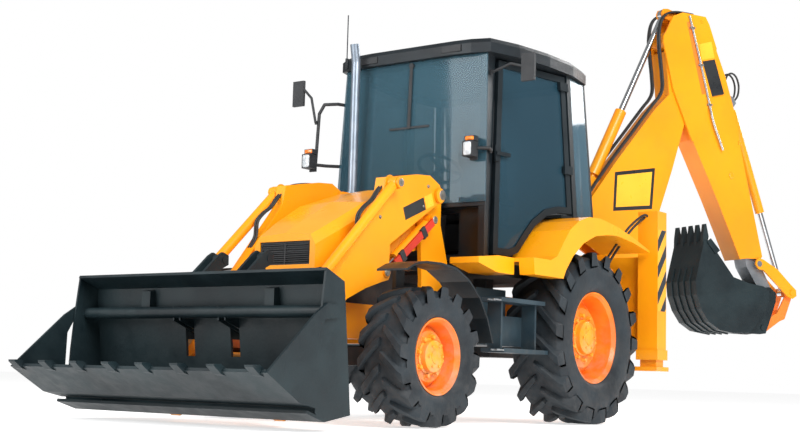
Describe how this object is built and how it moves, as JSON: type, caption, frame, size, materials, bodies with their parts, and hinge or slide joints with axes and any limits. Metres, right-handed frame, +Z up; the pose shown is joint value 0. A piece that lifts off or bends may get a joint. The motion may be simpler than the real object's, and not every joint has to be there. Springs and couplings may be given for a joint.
{
  "type": "backhoe loader",
  "caption": "Wheeled backhoe loader: cab tractor with a clam loader bucket in front and a side-shifting, slewing digger arm with an extending dipper and a toothed bucket behind.",
  "frame": {"origin": "middle of the machine's bounding box, on the ground", "axes": "+X forwards, +Y to the machine's left, +Z up"},
  "size_m": [7.673, 2.7274, 4.046],
  "materials": {
    "yellow_paint": "gloss golden yellow machine paint",
    "engine": "dark cast engine",
    "black_paint": "satin black paint",
    "tank_paint": "blue-grey paint",
    "glass": "blue-tinted cab glass",
    "seat_cloth": "dark cloth",
    "trim": "matte black plastic",
    "exhaust": "grey exhaust steel",
    "tyre": "dark tyre rubber",
    "rim_paint": "orange-yellow wheel paint",
    "chrome": "chromed ram rod",
    "bucket_paint": "worn dark blue-black paint",
    "lamp": "clear lamp lens in a dark housing"
  },
  "bodies": {
    "chassis": {"main_frame": "yellow_paint", "loader_towers": "yellow_paint", "engine_block": "engine", "front_axle": "black_paint", "rear_axle": "black_paint", "tanks_and_steps": "tank_paint", "cab_floor": "black_paint", "fenders_and_sills": "yellow_paint", "cab_frame": "black_paint", "cab_roof": "black_paint", "windscreen": "glass", "cab_windows": "glass", "seat": "seat_cloth", "console_and_wheel": "trim", "exhaust_stack": "exhaust", "rear_frame": "yellow_paint", "lamps": "lamp", "mirrors_and_wiper": "trim"},
    "bonnet": {"bonnet": "yellow_paint", "grille": "trim"},
    "door_left": {"door_left": "black_paint", "door_glass_left": "glass"},
    "door_right": {"door_right": "black_paint", "door_glass_right": "glass"},
    "knuckle_left": {"knuckle_left": "black_paint"},
    "front_wheel_left": {"front_rim_left": "rim_paint", "front_tyre_left": "tyre"},
    "rear_wheel_left": {"rear_rim_left": "rim_paint", "rear_tyre_left": "tyre"},
    "stabiliser_left": {"stabiliser_left": "yellow_paint"},
    "knuckle_right": {"knuckle_right": "black_paint"},
    "front_wheel_right": {"front_rim_right": "rim_paint", "front_tyre_right": "tyre"},
    "rear_wheel_right": {"rear_rim_right": "rim_paint", "rear_tyre_right": "tyre"},
    "stabiliser_right": {"stabiliser_right": "yellow_paint"},
    "loader_arms": {"loader_arms": "yellow_paint"},
    "lift_barrels": {"lift_barrels": "yellow_paint"},
    "lift_rods": {"lift_rods": "chrome"},
    "loader_bucket": {"loader_bucket": "bucket_paint"},
    "tilt_barrels": {"tilt_barrels": "yellow_paint"},
    "tilt_rods": {"tilt_rods": "chrome"},
    "bucket_clam": {"bucket_clam": "bucket_paint"},
    "clam_barrels": {"clam_barrels": "yellow_paint"},
    "clam_rods": {"clam_rods": "chrome"},
    "carriage": {"carriage": "yellow_paint"},
    "kingpost": {"kingpost": "yellow_paint"},
    "boom": {"boom": "yellow_paint"},
    "boom_ram_barrel": {"boom_ram_barrel": "yellow_paint"},
    "boom_ram_rod": {"boom_ram_rod": "chrome"},
    "dipper": {"dipper": "yellow_paint"},
    "dipper_ram_barrel": {"dipper_ram_barrel": "yellow_paint"},
    "dipper_ram_rod": {"dipper_ram_rod": "chrome"},
    "dipper_extension": {"dipper_extension": "yellow_paint"},
    "digger_bucket": {"digger_bucket": "bucket_paint"},
    "tipping_lever": {"tipping_lever": "yellow_paint"},
    "tipping_link": {"tipping_link": "yellow_paint"},
    "crowd_ram_barrel": {"crowd_ram_barrel": "yellow_paint"},
    "crowd_ram_rod": {"crowd_ram_rod": "chrome"}
  },
  "joints": [
    {"name": "bonnet_hinge", "type": "hinge", "parent": "chassis", "child": "bonnet", "pos_m": [0.91952, -0.17666, 1.859], "axis": [0, -1, 0], "range_deg": [0, 45]},
    {"name": "door_left_hinge", "type": "hinge", "parent": "chassis", "child": "door_left", "pos_m": [-0.26304, 0.73212, 1.73952], "axis": [0.0512, -0.0469, 0.9976], "range_deg": [0, 85]},
    {"name": "door_right_hinge", "type": "hinge", "parent": "chassis", "child": "door_right", "pos_m": [-0.26304, -1.08544, 1.73952], "axis": [-0.0512, -0.0469, -0.9976], "range_deg": [0, 85]},
    {"name": "steer_left", "type": "hinge", "parent": "chassis", "child": "knuckle_left", "pos_m": [1.85452, 0.56334, 0.494], "axis": [0, 0, 1], "range_deg": [-30, 30]},
    {"name": "steer_right", "type": "hinge", "parent": "chassis", "child": "knuckle_right", "pos_m": [1.85452, -0.91666, 0.494], "axis": [0, 0, 1], "range_deg": [-30.1, 30.1]},
    {"name": "front_wheel_left_spin", "type": "hinge", "parent": "knuckle_left", "child": "front_wheel_left", "pos_m": [1.85452, 0.70334, 0.494], "axis": [0, 1, 0], "continuous": true},
    {"name": "rear_wheel_left_spin", "type": "hinge", "parent": "chassis", "child": "rear_wheel_left", "pos_m": [-0.31548, 0.70834, 0.709], "axis": [0, 1, 0], "continuous": true},
    {"name": "front_wheel_right_spin", "type": "hinge", "parent": "knuckle_right", "child": "front_wheel_right", "pos_m": [1.85452, -1.05666, 0.494], "axis": [0, 1, 0], "continuous": true},
    {"name": "rear_wheel_right_spin", "type": "hinge", "parent": "chassis", "child": "rear_wheel_right", "pos_m": [-0.31548, -1.06166, 0.709], "axis": [0, 1, 0], "continuous": true},
    {"name": "loader_lift", "type": "hinge", "parent": "chassis", "child": "loader_arms", "pos_m": [1.18952, -0.17666, 1.738], "axis": [0, -1, 0], "range_deg": [0, 87.5]},
    {"name": "lift_barrel_turn", "type": "hinge", "parent": "chassis", "child": "lift_barrels", "pos_m": [1.22952, -0.17666, 1.546], "axis": [0, -1, 0], "range_deg": [0, 92.4]},
    {"name": "lift_rod_slide", "type": "slide", "parent": "lift_barrels", "child": "lift_rods", "axis": [0.8003, 0, -0.5996], "range_m": [-0.00001, 0.27134]},
    {"name": "bucket_tilt", "type": "hinge", "parent": "loader_arms", "child": "loader_bucket", "pos_m": [2.87452, -0.17666, 0.109], "axis": [0, 1, 0], "range_deg": [-20, 105]},
    {"name": "tilt_barrel_turn", "type": "hinge", "parent": "loader_arms", "child": "tilt_barrels", "pos_m": [1.80952, -0.17666, 1.754], "axis": [0, -1, 0], "range_deg": [-0.88, 0.17]},
    {"name": "tilt_rod_slide", "type": "slide", "parent": "tilt_barrels", "child": "tilt_rods", "axis": [0.7314, 0, -0.6819], "range_m": [-0.1863, 0.97804]},
    {"name": "clam_open", "type": "hinge", "parent": "loader_bucket", "child": "bucket_clam", "pos_m": [3.15952, -0.17666, 0.739], "axis": [0, -1, 0], "range_deg": [0, 50]},
    {"name": "clam_barrel_turn", "type": "hinge", "parent": "loader_bucket", "child": "clam_barrels", "pos_m": [2.79452, -0.17666, 1.124], "axis": [0, -1, 0], "range_deg": [0, 9.18]},
    {"name": "clam_rod_slide", "type": "slide", "parent": "clam_barrels", "child": "clam_rods", "axis": [0.2472, 0, -0.969], "range_m": [-0.00001, 0.20422]},
    {"name": "stabiliser_left_slide", "type": "slide", "parent": "chassis", "child": "stabiliser_left", "axis": [0, 0, -1], "range_m": [0, 0.45]},
    {"name": "stabiliser_right_slide", "type": "slide", "parent": "chassis", "child": "stabiliser_right", "axis": [0, 0, -1], "range_m": [0, 0.45]},
    {"name": "side_shift", "type": "slide", "parent": "chassis", "child": "carriage", "axis": [0, 1, 0], "range_m": [-0.824, 0.176]},
    {"name": "slew", "type": "hinge", "parent": "carriage", "child": "kingpost", "pos_m": [-1.72048, 0.14734, 0.994], "axis": [0, 0, -1], "range_deg": [-118, 62]},
    {"name": "boom_lower", "type": "hinge", "parent": "kingpost", "child": "boom", "pos_m": [-1.89707, 0.24124, 1.144], "axis": [-0.4695, -0.8829, 0], "range_deg": [0, 105]},
    {"name": "boom_barrel_turn", "type": "hinge", "parent": "kingpost", "child": "boom_ram_barrel", "pos_m": [-1.87058, 0.22715, 1.474], "axis": [0.4695, 0.8829, 0], "range_deg": [-113.11, 0]},
    {"name": "boom_rod_slide", "type": "slide", "parent": "boom_ram_barrel", "child": "boom_ram_rod", "axis": [-0.4419, 0.235, 0.8657], "range_m": [-0.00001, 0.5371]},
    {"name": "dipper_out", "type": "hinge", "parent": "boom", "child": "dipper", "pos_m": [-2.40918, 0.51353, 3.715], "axis": [0.4695, 0.8829, 0], "range_deg": [0, 115]},
    {"name": "dipper_barrel_turn", "type": "hinge", "parent": "boom", "child": "dipper_ram_barrel", "pos_m": [-1.65426, 0.11213, 2.239], "axis": [0.4695, 0.8829, 0], "range_deg": [0, 5.44]},
    {"name": "dipper_rod_slide", "type": "slide", "parent": "dipper_ram_barrel", "child": "dipper_ram_rod", "axis": [-0.3812, 0.2027, 0.902], "range_m": [-0.46588, 0.00001]},
    {"name": "dipper_extend", "type": "slide", "parent": "dipper", "child": "dipper_extension", "axis": [-0.2137, 0.1136, -0.9703], "range_m": [0, 1.1]},
    {"name": "digger_bucket_open", "type": "hinge", "parent": "dipper_extension", "child": "digger_bucket", "pos_m": [-3.47755, 1.08159, 1.244], "axis": [0.4695, 0.8829, 0], "range_deg": [0, 170]},
    {"name": "tipping_lever_turn", "type": "hinge", "parent": "dipper_extension", "child": "tipping_lever", "pos_m": [-3.35393, 1.01586, 1.564], "axis": [0.4695, 0.8829, 0], "range_deg": [0, 96.3]},
    {"name": "tipping_link_turn", "type": "hinge", "parent": "digger_bucket", "child": "tipping_link", "pos_m": [-3.41132, 1.04638, 0.929], "axis": [0.4695, 0.8829, 0], "range_deg": [-103.4, 0]},
    {"name": "crowd_barrel_turn", "type": "hinge", "parent": "dipper_extension", "child": "crowd_ram_barrel", "pos_m": [-3.12437, 0.8938, 3.184], "axis": [0.4695, 0.8829, 0], "range_deg": [0, 8.21]},
    {"name": "crowd_rod_slide", "type": "slide", "parent": "crowd_ram_barrel", "child": "crowd_ram_rod", "axis": [-0.2958, 0.1573, -0.9422], "range_m": [-0.71627, 0.00001]}
  ],
  "couplings": [
    {"joint": "steer_right", "follows": "steer_left", "ratio": 1},
    {"joint": "lift_barrel_turn", "follows": "loader_lift", "ratio": 1.0539},
    {"joint": "lift_rod_slide", "follows": "loader_lift", "m_per_rad": 0.17731},
    {"joint": "tilt_barrel_turn", "follows": "bucket_tilt", "ratio": -0.008339},
    {"joint": "tilt_rod_slide", "follows": "bucket_tilt", "m_per_rad": 0.53262},
    {"joint": "clam_barrel_turn", "follows": "clam_open", "ratio": 0.18314},
    {"joint": "clam_rod_slide", "follows": "clam_open", "m_per_rad": 0.23354},
    {"joint": "boom_barrel_turn", "follows": "boom_lower", "ratio": -1.0751},
    {"joint": "boom_rod_slide", "follows": "boom_lower", "m_per_rad": 0.29249},
    {"joint": "dipper_barrel_turn", "follows": "dipper_out", "ratio": 0.047171},
    {"joint": "dipper_rod_slide", "follows": "dipper_out", "m_per_rad": -0.23165},
    {"joint": "tipping_lever_turn", "follows": "digger_bucket_open", "ratio": 0.56531},
    {"joint": "tipping_link_turn", "follows": "digger_bucket_open", "ratio": -0.60703},
    {"joint": "crowd_barrel_turn", "follows": "digger_bucket_open", "ratio": 0.048166},
    {"joint": "crowd_rod_slide", "follows": "digger_bucket_open", "m_per_rad": -0.24092}
  ]
}
